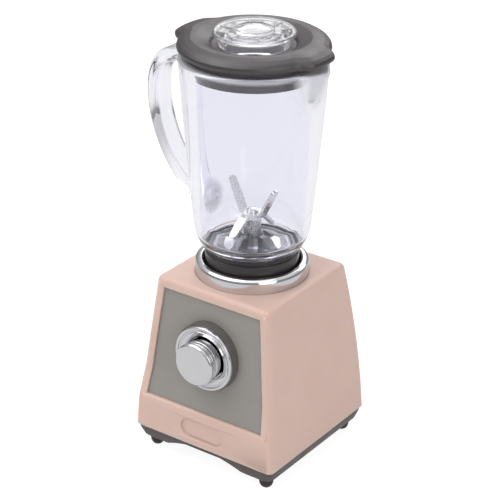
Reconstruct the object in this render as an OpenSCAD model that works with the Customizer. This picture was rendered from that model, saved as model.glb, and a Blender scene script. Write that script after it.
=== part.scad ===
// Toy blender: a battery-driven miniature jug blender, millimetres.
// Origin: on the table, under the axis of the jar. +Z is up, the button faces -Y,
// the handle points to -X and the spout to +X.

/* [Base housing] */
// Height of the feet under the base plate
foot_h = 2.6; // [1.8:0.1:3.4]
// Diameter of a foot
foot_d = 3.2; // [2.6:0.1:4]
// Distance of a foot's centre from the housing's side
foot_inset = 3.65; // [3.4:0.05:4.4]
// Height of the base plate's side
plate_h = 3.2; // [3:0.1:4.4]
// Floor of the base plate
plate_floor = 1.8; // [1.6:0.1:2.2]
// Half the width of the arch under the front
arch_half_w = 10.8; // [8:0.1:12]
// Rise of the arch under the front
arch_rise = 2.7; // [2:0.1:2.75]
// Width and depth of the housing at its foot
body_w = 37.7; // [37:0.1:40]
// Width and depth of the housing's flat top
top_w = 29.9; // [29:0.1:32]
// Height of the housing
body_h = 37.1; // [36:0.1:40]
// Height of the upright skirt at the front
skirt_h = 7.2; // [6.6:0.1:8]
// Height of the crease across the front
crease_h = 15; // [14.5:0.1:15.5]
// Distance of the crease from the axis
crease_y = 17.05; // [16.8:0.05:17.3]
// Radius on the housing's upright corners
corner_r = 1.3; // [1:0.1:2]
// Radius on the housing's top edge
edge_r = 1; // [0.6:0.1:1.3]
// Wall of the housing
wall = 1.4; // [1.2:0.1:1.6]

/* [Front panel and button] */
// Thickness of the front panel
panel_t = 1.2; // [1:0.1:1.4]
// Depth of the panel's face under the housing's face
panel_sink = 0.55; // [0.3:0.05:0.7]
// Housing wall left behind the panel
panel_back = 1.05; // [0.9:0.05:1.3]
// Width of the housing's border beside the panel
panel_border = 1.25; // [1:0.05:2]
// Height of the panel's lower edge above the housing's foot
panel_low = 8.7; // [8:0.1:10]
// Distance of the panel's upper edge from the housing's top
panel_top_gap = 1.9; // [1.5:0.1:3]
// Height of the button's axis above the housing's foot
button_h = 22.4; // [22:0.1:23]
// Diameter of the panel's raised boss
boss_d = 15.7; // [15:0.1:16.4]
// Distance of the boss's face from the jar's axis
boss_y = 17.35; // [17.2:0.05:17.8]
// Diameter of the chrome bezel
bezel_d = 15.3; // [14.8:0.1:15.6]
// Thickness of the chrome bezel
bezel_t = 0.95; // [0.8:0.05:1.3]
// Diameter of the button's face
button_d = 9.9; // [9.5:0.1:10]
// Diameter of the button's shank
shank_d = 9.3; // [9:0.1:9.4]
// Gap between the button's shank and the bezel
button_gap = 0.4; // [0.35:0.05:0.5]
// How far the button stands out of the bezel
button_out = 3.4; // [2.6:0.1:4]
// Travel of the button
button_travel = 1; // [0.8:0.1:1]
// Length and height of the oval recess on the skirt
recess_w = 11.7; // [9:0.1:13]
recess_h = 4.6; // [3.6:0.1:5]
// Depth of the oval recess
recess_t = 0.5; // [0.3:0.05:0.7]

/* [Jar] */
// Width of the chrome ring on the housing, from its bore to its outer edge
ring_t = 1.85; // [1.7:0.05:2.2]
// Height of the chrome ring above the housing
ring_h = 3.3; // [2.6:0.1:4]
// Outer diameter of the jar's black collar
collar_d = 20.8; // [20.4:0.1:21]
// Gap between the collar and the chrome ring
collar_gap = 0.35; // [0.3:0.05:0.5]
// Depth of the socket in the housing's top
socket_deep = 2.9; // [2.7:0.1:3.2]
// Height of the collar, from the socket's floor to the jar
collar_h = 9.2; // [8.8:0.1:10]
// Height of the jar's glass
jar_h = 43.5; // [40:0.1:46]
// How far the jar's lower edge reaches down over the collar
jar_skirt = 1.2; // [0.8:0.1:1.6]
// How far the jar's lower edge stands out over the collar
jar_flare = 0.55; // [0.45:0.05:0.8]
// Diameter of the jar just above its shoulder
jar_low_d = 25.9; // [25.4:0.1:26.6]
// Diameter of the jar's rim
jar_top_d = 32.2; // [31.6:0.1:33]
// How far the foot of the jar's bore stands out over the collar
bore_flare = 0.6; // [0.4:0.05:0.8]
// Inner diameter of the jar at its rim
bore_top_d = 24.7; // [24.4:0.1:25.2]
// How far the spout stands out of the rim
spout_out = 2.9; // [2:0.1:3.6]
// How far the spout runs down the jar
spout_deep = 9.5; // [7:0.1:12]
// Distance of the handle's outer side from the axis
handle_reach = 26.8; // [25:0.1:28]
// Thickness of the handle's bar
handle_t = 3.1; // [2.6:0.1:3.4]
// Width of the handle's bar
handle_w = 6; // [5:0.1:7]

/* [Lid and cap] */
// Diameter of the lid
lid_d = 32.6; // [32:0.1:34]
// How far the lid's ear over the handle stands out
ear_back = 2.2; // [1.8:0.1:3]
// How far the lid's ear over the spout stands out
ear_front = 1.9; // [1.6:0.1:2.6]
// Height of the lid above its seat
lid_h = 4.1; // [3.9:0.05:4.5]
// Height of the bowl's floor, round the hole, above the lid's seat
bowl_h = 2.3; // [2.1:0.1:2.8]
// Depth of the lid's plug inside the jar
plug_deep = 3.7; // [3:0.1:4]
// Gap round the lid's plug and round the cap's plug
plug_gap = 0.25; // [0.2:0.05:0.4]
// Diameter of the hole in the lid
hole_d = 14.9; // [14:0.1:15.6]
// Height of the cap's flange above the lid's seat
cap_seat = 4.3; // [4:0.1:4.6]
// Diameter of the cap's flange
cap_d = 17.8; // [17:0.1:18.6]
// Diameter of the cap's knob
knob_d = 8.4; // [7.6:0.1:9]

/* [Blades and drive] */
// Diameter of the silver post under the blades
post_d = 3.6; // [3.2:0.1:4]
// Height of the blades' hub above the jar's floor
hub_h = 6.6; // [6.2:0.1:7.2]
// Reach and rise of the upper blades
upper_reach = 6.5; // [5:0.1:7]
upper_rise = 7; // [5:0.1:7.4]
// Reach and drop of the lower blades
lower_reach = 6.4; // [5:0.1:6.6]
lower_drop = 3.8; // [3:0.1:4.4]
// Width and thickness of a blade
blade_w = 2; // [1.6:0.1:2.4]
blade_t = 0.65; // [0.5:0.05:0.8]
// Diameter of the blade shaft
shaft_d = 1.6; // [1.4:0.1:1.8]
// Diameter and height of the motor's can
motor_d = 12; // [11:0.1:12.4]
motor_h = 14; // [13:0.1:14.4]
// Diameter and height of a button cell
cell_d = 11.6; // [11.6:0.1:11.6]
cell_h = 5.4; // [5.4:0.1:5.4]

/* [Hidden] */

fine = 64;
eps = 0.02;
// running clearance of a shaft in its bore, on the radius
run = 0.05;
// clearance between pieces that are pushed together, on each side
slip = 0.1;

// levels, from the table up
plate_z = foot_h;
floor_z = plate_z + plate_floor;
body_z = plate_z + plate_h;
top_z = body_z + body_h;
socket_z = top_z - socket_deep;
jar_z = socket_z + collar_h + 0.3;
rim_z = jar_z + jar_h;
button_z = body_z + button_h;

// widths
front_wall = panel_sink + panel_t + panel_back;
collar_r = collar_d / 2;
ring_bore_r = collar_r + collar_gap;
ring_r = ring_bore_r + ring_t;
socket_r = ring_r - 0.95;
socket_floor_t = 1.4;
spigot_r = shank_d / 2 + button_gap + 0.5;
foot_at = body_w / 2 - foot_inset;
// lip of the base plate inside the housing
lip_gap = 0.25;
lip_t = 1;
lip_x = body_w / 2 - wall - lip_gap;
lip_front = body_w / 2 - front_wall - lip_gap;

// screws and their bosses
boss_r = 1.9;
boss_at = [lip_x - lip_t - boss_r - 0.15, 9.5];
screw_r = 0.75;
board_at = spigot_r + 2.65;
bracket_at = motor_d / 2 + 2.6;

// ---------------------------------------------------------------- shapes

function smooth(t) = let (u = max(0, min(1, t))) u * u * (3 - 2 * u);

function mix(a, b, t) = a + (b - a) * t;

// ring of points round a rectangle with rounded corners, at height z
function round_ring(x, front, back, r, z, steps = 5) = [
    for (corner = [0 : 3], i = [0 : steps])
        let (
            cx = (corner == 0 || corner == 3) ? x - r : r - x,
            cy = corner < 2 ? back - r : r - front,
            a = 90 * corner + 90 * i / steps
        )
        [cx + r * cos(a), cy + r * sin(a), z]
];

// closed solid through a stack of rings with equally many points
module loft(rings) {
    n = len(rings[0]);
    last = len(rings) - 1;
    polyhedron(
        points = [for (ring = rings) each ring],
        faces = [
            [for (i = [0 : n - 1]) i],
            [for (i = [0 : n - 1]) last * n + n - 1 - i],
            for (k = [0 : last - 1], i = [0 : n - 1])
                let (j = (i + 1) % n)
                each [
                    [k * n + i, (k + 1) * n + i, (k + 1) * n + j],
                    [k * n + i, (k + 1) * n + j, k * n + j]
                ]
        ]
    );
}

// closed solid round the axis: the rings run up the outside and down the inside
module tube_loft(rings) {
    n = len(rings[0]);
    m = len(rings);
    polyhedron(
        points = [for (ring = rings) each ring],
        faces = [
            for (k = [0 : m - 1], i = [0 : n - 1])
                let (j = (i + 1) % n, l = (k + 1) % m)
                each [
                    [k * n + i, l * n + i, l * n + j],
                    [k * n + i, l * n + j, k * n + j]
                ]
        ]
    );
}

// cylinder along +Y from y0 to y1, on the button's height unless z is given
module y_rod(r, y0, y1, x = 0, z = button_z) {
    translate([x, y0, z])
        rotate([-90, 0, 0])
            cylinder(r = r, h = y1 - y0, $fn = fine);
}

module pan_screw(length, r = screw_r, head_r = 1.55, head_h = 0.8) {
    difference() {
        rotate_extrude($fn = fine)
            polygon([
                [0, -head_h], [head_r * 0.7, -head_h], [head_r, -head_h * 0.45], [head_r, 0],
                [r, 0], [r, length - r], [r * 0.3, length], [0, length]
            ]);
        for (turn = [0, 90])
            rotate([0, 0, turn])
                translate([-head_r * 0.6, -0.15, -head_h - eps])
                    cube([head_r * 1.2, 0.3, head_h * 0.55]);
    }
}

// ---------------------------------------------------------------- housing

function side_x(h) = top_w / 2 + (body_w - top_w) / 2 * (1 - pow(h / body_h, 1.1));
function back_y(h) = top_w / 2 + (body_w - top_w) / 2 * (1 - pow(h / body_h, 2.1));
function front_y(h) =
    h < skirt_h ? body_w / 2
    : h < crease_h ? mix(body_w / 2, crease_y, (h - skirt_h) / (crease_h - skirt_h))
    : mix(crease_y, top_w / 2, (h - crease_h) / (body_h - crease_h));

// heights of the sections through the housing, measured from its foot
shell_levels = [
    0, skirt_h - 0.4, skirt_h + 0.4, (skirt_h + crease_h) / 2, crease_h - 0.5, crease_h + 0.5,
    for (t = [1 : 5]) mix(crease_h + 0.5, body_h - edge_r, t / 5)
];

function shell_ring(h, inset, front_inset, round_in = 0) = round_ring(
    side_x(h) - inset - round_in,
    front_y(h) - front_inset - round_in,
    back_y(h) - inset - round_in,
    max(0.3, corner_r - inset * 0.6 - round_in * 0.6),
    body_z + h
);

module shell_outside() {
    loft([
        for (h = shell_levels) shell_ring(h, 0, 0),
        for (a = [22.5 : 22.5 : 90])
            shell_ring(body_h - edge_r * (1 - sin(a)), 0, 0, edge_r * (1 - cos(a)))
    ]);
}

// the space inside the housing, or with half = 0.5 the skin along the middle of its walls
module shell_inside(half = 1, ceiling = wall) {
    front = front_wall - wall * (1 - half);
    inside_levels = [for (h = shell_levels) if (h < body_h - ceiling - 0.5) h];
    loft([
        [for (p = shell_ring(0, wall * half, front)) [p.x, p.y, p.z - 3]],
        for (h = inside_levels) shell_ring(h, wall * half, front),
        shell_ring(body_h - ceiling, wall * half, front)
    ]);
}

// plate that follows the bent front face, from depth a to depth b under it
module front_slab(a, b) {
    rotate([90, 0, 90])
        linear_extrude(height = body_w, center = true)
            polygon([
                [-front_y(0) + a, body_z + panel_low - 1.2],
                [-front_y(skirt_h) + a, body_z + skirt_h],
                [-crease_y + a, body_z + crease_h],
                [-top_w / 2 + a, top_z],
                [-top_w / 2 + b, top_z],
                [-crease_y + b, body_z + crease_h],
                [-front_y(skirt_h) + b, body_z + skirt_h],
                [-front_y(0) + b, body_z + panel_low - 1.2]
            ]);
}

// outline of the panel seen from the front, as a bar along Y
module panel_outline(gap) {
    low = panel_low - gap;
    high = body_h - panel_top_gap + gap;
    side_at = function (h) side_x(h) - panel_border + gap;
    rotate([90, 0, 0])
        linear_extrude(height = 40)
            polygon([
                for (h = [low, crease_h, mix(crease_h, high, 0.5), high]) [side_at(h), body_z + h],
                for (h = [high, mix(crease_h, high, 0.5), crease_h, low]) [-side_at(h), body_z + h]
            ]);
}

module recess_bar(y0, y1) {
    straight = recess_w - recess_h;
    z = body_z + (panel_low - 0.4) / 2;
    for (s = [-1, 1])
        y_rod(recess_h / 2, y0, y1, s * straight / 2, z);
    translate([-straight / 2, y0, z - recess_h / 2])
        cube([straight, y1 - y0, recess_h]);
}

module body_shell() {
    color([0.86, 0.74, 0.69])
        difference() {
            union() {
                difference() {
                    shell_outside();
                    shell_inside();
                }
                // socket that carries the chrome ring and the jar's collar
                translate([0, 0, socket_z - socket_floor_t])
                    cylinder(r = socket_r + 1.3, h = socket_deep + socket_floor_t - 0.7, $fn = fine);
                for (s = [-1, 1])
                    translate([s * bracket_at, 0, bracket_top_z])
                        cylinder(r = 1.9, h = socket_z - bracket_top_z - 0.5, $fn = fine);
                intersection() {
                    union() {
                        corner_bosses();
                        for (s = [-1, 1])
                            y_rod(1.6, -body_w / 2, board_y, s * board_at);
                    }
                    shell_inside(0.5, wall + 1);
                }
                boss_feet();
            }
            // seat of the chrome ring, the socket and the hole for the drive
            translate([0, 0, top_z - ring_seat])
                cylinder(r = ring_r + slip, h = 2, $fn = fine);
            translate([0, 0, socket_z])
                cylinder(r = socket_r, h = socket_deep + 1, $fn = fine);
            translate([0, 0, socket_z - socket_floor_t - 1])
                cylinder(r = drive_hole_r, h = socket_floor_t + 2, $fn = fine);
            // pocket of the panel, hole of the bezel and the oval recess
            intersection() {
                front_slab(-3, panel_sink + panel_t);
                panel_outline(0.05);
            }
            y_rod(spigot_r + run, -body_w, -10);
            recess_bar(-body_w, -body_w / 2 + recess_t);
            // screw holes
            for (x = [-1, 1], y = [-1, 1])
                translate([x * boss_at.x, y * boss_at.y, floor_z - 1])
                    cylinder(r = screw_r + run, h = 8, $fn = fine);
            for (s = [-1, 1]) {
                translate([s * bracket_at, 0, bracket_top_z - 1])
                    cylinder(r = 0.7, h = socket_z - bracket_top_z + 0.4, $fn = fine);
                y_rod(0.6, board_y - 3.4, board_y + 1, s * board_at);
            }
        }
}

module corner_bosses() {
    for (x = [-1, 1], y = [-1, 1]) {
        translate([x * boss_at.x, y * boss_at.y, body_z + 0.5])
            cylinder(r = boss_r, h = 9, $fn = fine);
        translate([x * boss_at.x, y * boss_at.y, body_z + 5.5])
            translate([x > 0 ? 0 : -5, -0.5, -3])
                cube([5, 1, 7]);
    }
}

// the bosses reach down onto the base plate's floor
module boss_feet() {
    for (x = [-1, 1], y = [-1, 1])
        translate([x * boss_at.x, y * boss_at.y, floor_z])
            cylinder(r = boss_r, h = body_z - floor_z + 1, $fn = fine);
}

module front_panel() {
    color([0.57, 0.55, 0.52])
        difference() {
            union() {
                intersection() {
                    front_slab(panel_sink, panel_sink + panel_t);
                    panel_outline(0);
                }
                intersection() {
                    y_rod(boss_d / 2, -boss_y, -boss_y + 4);
                    front_slab(-3, panel_sink + panel_t);
                }
            }
            y_rod(spigot_r + run, -body_w, -10);
        }
}

// ring seen from the front; its profile is radius against distance in front of the boss
module button_bezel() {
    bore = shank_d / 2 + button_gap;
    r = bezel_d / 2;
    color([0.8, 0.8, 0.82])
        translate([0, -boss_y, button_z])
            rotate([90, 0, 0])
                rotate_extrude($fn = 96)
                    polygon([
                        [bore, spigot_end - boss_y], [spigot_r, spigot_end - boss_y],
                        [spigot_r, 0], [r - 0.1, 0],
                        for (a = [0 : 18 : 90])
                            [r - 0.55 + 0.55 * cos(a), bezel_t - 0.55 + 0.55 * sin(a)],
                        [r - 0.9, bezel_t - 0.05], [r - 1.05, bezel_t - 0.3], [r - 1.3, bezel_t - 0.32],
                        [bore + 0.35, bezel_t - 0.5], [bore, bezel_t - 0.75]
                    ]);
}

// the button's back flange bears on the end of the bezel's spigot
spigot_end = front_y(button_h + shank_d / 2 + 1.1) - front_wall - 0.2;
flange_t = 0.9;

module button() {
    r = button_d / 2;
    s = shank_d / 2;
    face = boss_y + bezel_t + button_out;
    depth = face - spigot_end + run;
    color([0.78, 0.79, 0.8])
        translate([0, -face, button_z])
            rotate([-90, 0, 0])
                rotate_extrude($fn = 96)
                    polygon([
                        [0, 0.08], [r - 1.1, 0.04],
                        for (a = [90 : -18 : 0])
                            [r - 0.5 + 0.5 * cos(a), 0.5 - 0.5 * sin(a)],
                        [r, 1.0], [s - 0.25, 1.12], [s - 0.25, 1.35], [s, 1.5],
                        [s, depth], [spigot_r - 0.05, depth], [spigot_r - 0.05, depth + flange_t],
                        [stem_r, depth + flange_t], [stem_r, face - leaf_y - run], [0, face - leaf_y - run]
                    ]);
}

module collar_ring() {
    r = ring_r;
    color([0.8, 0.8, 0.83])
        rotate_extrude($fn = 128)
            polygon([
                [ring_bore_r, socket_z + 0.9], [socket_r - run, socket_z + 0.9],
                [socket_r - run, top_z - ring_seat], [r, top_z - ring_seat],
                for (a = [0 : 15 : 90])
                    [r - 1.1 + 1.1 * cos(a), top_z + ring_h - 1.1 + 1.1 * sin(a)],
                for (a = [90 : 30 : 180])
                    [ring_bore_r + 0.35 + 0.35 * cos(a), top_z + ring_h - 0.35 + 0.35 * sin(a)]
            ]);
}

ring_seat = 0.25;
drive_hole_r = 2.4;

// ---------------------------------------------------------------- base plate and battery

box_y = body_w / 2 - 9.45;
door_t = 1.1;
// depth of the recess for a screw's head
head_deep = 0.6;
box_in = [3 * cell_h + 2.2, cell_d + 0.5];
box_wall = 1;
cell_z = plate_z + door_t + 0.2 + cell_d / 2;
box_top_z = cell_z + cell_d / 2 + 0.3;
door_screw_y = box_y - 9;
// the door reaches from its screw to the back of the battery box
door_front_y = door_screw_y - 2;
door_back_y = box_y + box_in.y / 2 + 0.6;
door_w = box_in.x + 1.6;

module plate_outside() {
    half = body_w / 2;
    loft([
        round_ring(half - 1.4, half - 1.4, half - 1.4, corner_r + 0.5, plate_z),
        round_ring(half - 1.0, half - 1.0, half - 1.0, corner_r + 0.6, plate_z + 0.4),
        round_ring(half - 0.5, half - 0.5, half - 0.5, corner_r + 0.3, plate_z + plate_h * 0.6),
        round_ring(half - 0.25, half - 0.25, half - 0.25, corner_r, body_z)
    ]);
}

module base_plate() {
    half = body_w / 2;
    arch_wall = 4.4;
    arch_r = (pow(arch_half_w, 2) + pow(arch_rise, 2)) / (2 * arch_rise);
    room_x = lip_x - 0.6;
    color([0.36, 0.33, 0.32])
        difference() {
            union() {
                difference() {
                    plate_outside();
                    translate([-room_x, -half + arch_wall, floor_z])
                        cube([2 * room_x, room_x + half - arch_wall, plate_h]);
                }
                // lip inside the housing
                difference() {
                    translate([-lip_x, -lip_front, body_z - 1])
                        cube([2 * lip_x, lip_front + lip_x, 2.2]);
                    translate([-lip_x + lip_t, -lip_front + lip_t, body_z - 2])
                        cube([2 * (lip_x - lip_t), lip_front + lip_x - 2 * lip_t, 4]);
                }
                // battery box and the boss of the door's screw
                translate([-box_in.x / 2 - box_wall, box_y - box_in.y / 2 - box_wall, floor_z - eps])
                    cube([
                        box_in.x + 2 * box_wall, box_in.y + 2 * box_wall,
                        box_top_z + box_wall - floor_z
                    ]);
                translate([0, door_screw_y, floor_z - eps])
                    cylinder(r = 2.1, h = 4.5, $fn = fine);
            }
            translate([-box_in.x / 2, box_y - box_in.y / 2, plate_z - 1])
                cube([box_in.x, box_in.y, box_top_z - plate_z + 1]);
            translate([-door_w / 2 - slip, door_front_y - slip, plate_z - 1])
                cube([door_w + 2 * slip, door_back_y - door_front_y + 2 * slip, door_t + 1]);
            translate([0, door_screw_y, plate_z])
                cylinder(r = screw_r + run, h = 5.4, $fn = fine);
            // arch under the front
            translate([0, 0, plate_z + arch_rise - arch_r])
                rotate([90, 0, 0])
                    translate([0, 0, half - 3.2])
                        cylinder(r = arch_r, h = 6, $fn = 128);
            for (x = [-1, 1], y = [-1, 1]) {
                translate([x * boss_at.x, y * boss_at.y, plate_z - 1])
                    cylinder(r = screw_r + 0.25, h = plate_floor + 2, $fn = fine);
                translate([x * boss_at.x, y * boss_at.y, plate_z - 1])
                    cylinder(r = 1.6, h = head_deep + 1.2, $fn = fine);
                translate([x * foot_at, y * foot_at, plate_z - 1])
                    cylinder(r = foot_stem_r + run, h = plate_floor + 0.8, $fn = fine);
            }
        }
}

module battery_door() {
    color([0.33, 0.3, 0.29])
        difference() {
            translate([-door_w / 2, door_front_y, plate_z])
                cube([door_w, door_back_y - door_front_y, door_t]);
            translate([0, door_screw_y, plate_z - 1])
                cylinder(r = screw_r + 0.25, h = 3, $fn = fine);
            translate([0, door_screw_y, plate_z - 1])
                cylinder(r = 1.5, h = head_deep + 1, $fn = fine);
            // finger grooves
            for (i = [0 : 2])
                translate([-3, door_back_y - 3 - 1.2 * i, plate_z - eps])
                    cube([6, 0.5, 0.3]);
        }
}

module door_screw() {
    color([0.7, 0.7, 0.72])
        translate([0, door_screw_y, plate_z + head_deep])
            pan_screw(4.4, screw_r, 1.4, head_deep);
}

module base_screws() {
    color([0.7, 0.7, 0.72])
        for (x = [-1, 1], y = [-1, 1])
            translate([x * boss_at.x, y * boss_at.y, plate_z + head_deep + 0.2])
                pan_screw(7, screw_r, 1.4, head_deep);
}

foot_stem_r = 0.8;

// domed foot with a flat on the table and a stem in the base plate
module foot(x, y) {
    r = foot_d / 2;
    color([0.2, 0.17, 0.17])
        translate([x * foot_at, y * foot_at, 0])
            rotate_extrude($fn = fine)
                polygon([
                    [0, 0],
                    for (a = [-60 : 15 : 0])
                        [r * cos(a), r * 0.9 * (1 + sin(a) / sin(60))],
                    [r, foot_h], [foot_stem_r, foot_h],
                    [foot_stem_r, foot_h + plate_floor - 0.3], [0, foot_h + plate_floor - 0.3]
                ]);
}

module foot_front_left() { foot(-1, -1); }
module foot_front_right() { foot(1, -1); }
module foot_back_left() { foot(-1, 1); }
module foot_back_right() { foot(1, 1); }

// button cell on its edge, its negative cap towards -X
module cell(i) {
    r = cell_d / 2;
    color([0.75, 0.76, 0.78])
        translate([(i - 0.5) * cell_h, box_y, cell_z])
            rotate([0, 90, 0])
                rotate_extrude($fn = fine)
                    polygon([
                        [0, 0], [r - 1.3, 0], [r - 1.1, 0.9], [r - 0.3, 1],
                        [r, 1.3], [r, cell_h - 0.3], [r - 0.3, cell_h], [0, cell_h]
                    ]);
}

module cell_left() { cell(-1); }
module cell_middle() { cell(0); }
module cell_right() { cell(1); }

// contact plate on the end wall of the battery box, with a raised spot that touches the cell
module contact(side) {
    reach = (box_in.x - 3 * cell_h) / 2;
    color([0.78, 0.7, 0.45])
        translate([side * box_in.x / 2, box_y, cell_z]) {
            translate([side > 0 ? -0.3 : 0, -3, -4])
                cube([0.3, 6, 8]);
            rotate([0, side > 0 ? -90 : 90, 0])
                rotate_extrude($fn = fine)
                    polygon([[0, 0.2], [2.6, 0.2], [1.4, reach], [0, reach]]);
        }
}

module contact_plus() { contact(1); }
module contact_minus() { contact(-1); }

// ---------------------------------------------------------------- motor and switch

dog_z = socket_z + 0.4;
motor_top_z = socket_z - 4.7;
bracket_t = 1.4;
bracket_top_z = motor_top_z + slip + bracket_t;
motor_shaft_r = 0.75;

module motor() {
    r = motor_d / 2;
    color([0.7, 0.71, 0.73])
        difference() {
            union() {
                intersection() {
                    translate([0, 0, motor_top_z - motor_h])
                        cylinder(r = r, h = motor_h, $fn = fine);
                    translate([-motor_d, -r * 0.84, 0])
                        cube([2 * motor_d, 2 * r * 0.84, 99]);
                }
                translate([0, 0, motor_top_z - 1])
                    cylinder(r = 1.9, h = 2, $fn = fine);
                for (s = [-1, 1])
                    translate([s * 3 - 0.6, -0.2, motor_top_z - motor_h - 1.4])
                        cube([1.2, 0.4, 2]);
            }
            translate([0, 0, motor_top_z - 2])
                cylinder(r = motor_shaft_r + run, h = 4, $fn = fine);
        }
}

module motor_bracket() {
    r = motor_d / 2 + run;
    color([0.9, 0.9, 0.88])
        difference() {
            union() {
                translate([-bracket_at - 2, -2.5, bracket_top_z - bracket_t])
                    cube([2 * bracket_at + 4, 5, bracket_t]);
                translate([0, 0, motor_top_z - 5])
                    cylinder(r = r + 0.8, h = 5 + slip + bracket_t, $fn = fine);
            }
            translate([0, 0, motor_top_z - 6])
                cylinder(r = r, h = 6 + slip, $fn = fine);
            translate([0, 0, motor_top_z - 1])
                cylinder(r = 2, h = 4, $fn = fine);
            for (s = [-1, 1])
                translate([s * bracket_at, 0, motor_top_z - 1])
                    cylinder(r = 0.8, h = 4, $fn = fine);
        }
}

module bracket_screws() {
    color([0.7, 0.7, 0.72])
        for (s = [-1, 1])
            translate([s * bracket_at, 0, bracket_top_z - bracket_t])
                pan_screw(3.6, 0.65, 1.25, 0.7);
}

module motor_shaft() {
    color([0.8, 0.8, 0.82])
        translate([0, 0, motor_top_z - 1.8])
            cylinder(r = motor_shaft_r, h = dog_z + dog_t - motor_top_z + 1.8, $fn = fine);
}

board_y = -8;
board_t = 1;
leaf_y = 9.3;
stem_r = 1.4;

module switch_board() {
    color([0.25, 0.45, 0.3])
        difference() {
            translate([-board_at - 2, board_y, button_z - 5])
                cube([2 * board_at + 4, board_t, 11.5]);
            for (s = [-1, 1])
                y_rod(0.75, board_y - 1, board_y + 2, s * board_at);
        }
}

module board_screws() {
    color([0.7, 0.7, 0.72])
        for (s = [-1, 1])
            translate([s * board_at, board_y + board_t, button_z])
                rotate([90, 0, 0])
                    pan_screw(3.8, 0.55, 1.1, 0.6);
}

// bent strip that brings the button back and closes the contact
module switch_leaf() {
    t = 0.2;
    mid = [
        [board_y - t / 2, 5.8], [board_y - t / 2, 4.2], [-leaf_y + 0.5, 1.6],
        [-leaf_y + t / 2, 0.5], [-leaf_y + t / 2, -1.2], [-leaf_y + 0.45, -2.6]
    ];
    color([0.8, 0.68, 0.4])
        translate([0, 0, button_z])
            rotate([90, 0, 90])
                linear_extrude(height = 2.4, center = true)
                    polygon([
                        for (p = mid) [p.x - t / 2, p.y],
                        for (i = [len(mid) - 1 : -1 : 0]) [mid[i].x + t / 2, mid[i].y]
                    ]);
}

module switch_rivet() {
    color([0.8, 0.68, 0.4])
        y_rod(0.8, board_y - 0.2, board_y, 0, button_z - 0.6);
}

// ---------------------------------------------------------------- drive

dog_r = 3.6;
dog_hub_r = 1.7;
dog_t = 0.8;
dog_lug_h = 1.5;
lug_angle = 60;

// disc with two lugs on its face; the two dogs mesh a quarter turn apart
module dog(bore_r) {
    difference() {
        union() {
            cylinder(r = dog_r, h = dog_t, $fn = fine);
            for (turn = [0, 180])
                rotate([0, 0, turn - lug_angle / 2])
                    rotate_extrude(angle = lug_angle, $fn = 96)
                        translate([dog_hub_r, dog_t / 2])
                            square([dog_r - 0.15 - dog_hub_r, dog_t / 2 + dog_lug_h]);
        }
        translate([0, 0, -1])
            cylinder(r = bore_r, h = 5, $fn = fine);
    }
}

module drive_dog() {
    color([0.15, 0.15, 0.16])
        translate([0, 0, dog_z])
            dog(motor_shaft_r);
}

driven_z = dog_z + 2 * dog_t + dog_lug_h + 0.4;

module driven_dog() {
    color([0.15, 0.15, 0.16])
        translate([0, 0, driven_z])
            rotate([180, 0, 90])
                dog(shaft_d / 2);
}

// ---------------------------------------------------------------- jar

jar_floor_z = jar_z + 0.5;
shoulder_z = jar_z + jar_skirt;
gasket_t = 0.3;
// bore of the collar's upper edge, round the floor of the jar
floor_r = collar_r - 0.8;
web_z = driven_z + 1;
bush_r = 1.88;

module jar_collar() {
    color([0.14, 0.12, 0.13])
        rotate_extrude($fn = 128)
            polygon([
                [collar_r - 1.6, socket_z], [collar_r - 0.4, socket_z], [collar_r, socket_z + 0.4],
                [collar_r, shoulder_z], [floor_r, shoulder_z],
                [floor_r, jar_floor_z], [floor_r - 1, jar_floor_z],
                [floor_r - 1, web_z + 1.4], [bush_r + 1.2, web_z + 1.4],
                [bush_r + 1.2, jar_floor_z], [bush_r, jar_floor_z], [bush_r, web_z - 0.6],
                [bush_r + 1.2, web_z - 0.6], [bush_r + 1.4, web_z], [collar_r - 1.6, web_z]
            ]);
}

module jar_gasket() {
    color([0.1, 0.1, 0.1])
        difference() {
            translate([0, 0, shoulder_z])
                cylinder(r = collar_r - 0.1, h = gasket_t, $fn = 96);
            translate([0, 0, shoulder_z - 1])
                cylinder(r = floor_r + run, h = 3, $fn = 96);
        }
}

// outer radius of the jar at height h above its lower edge, and of its bore
function jar_out(h) =
    h < 7 ? mix(collar_r + jar_flare, jar_low_d / 2, 1 - pow(1 - h / 7, 2.2))
    : mix(jar_low_d / 2, jar_top_d / 2, pow((h - 7) / (jar_h - 7), 0.86));
function jar_in(h) = mix(collar_r + bore_flare, bore_top_d / 2, (h - 3) / (jar_h - 3));

// share of the spout that a point at height h and angle a takes
function spout_at(h, a) =
    let (
        s = max(0, (h - jar_h + spout_deep) / spout_deep),
        half = mix(8, 21, s),
        turn = abs(a > 180 ? a - 360 : a)
    )
    pow(s, 1.5) * pow(max(0, 1 - turn / half), 1.15);

jar_angles = [
    for (a = [-24 : 3 : 24]) a < 0 ? a + 360 : a,
    for (a = [30 : 6 : 330]) a
];

function jar_ring(r, h) = [
    for (a = jar_angles)
        let (q = r + spout_out * spout_at(h, a))
        [q * cos(a), q * sin(a), jar_z + h]
];

rim_r = 0.9;

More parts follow.
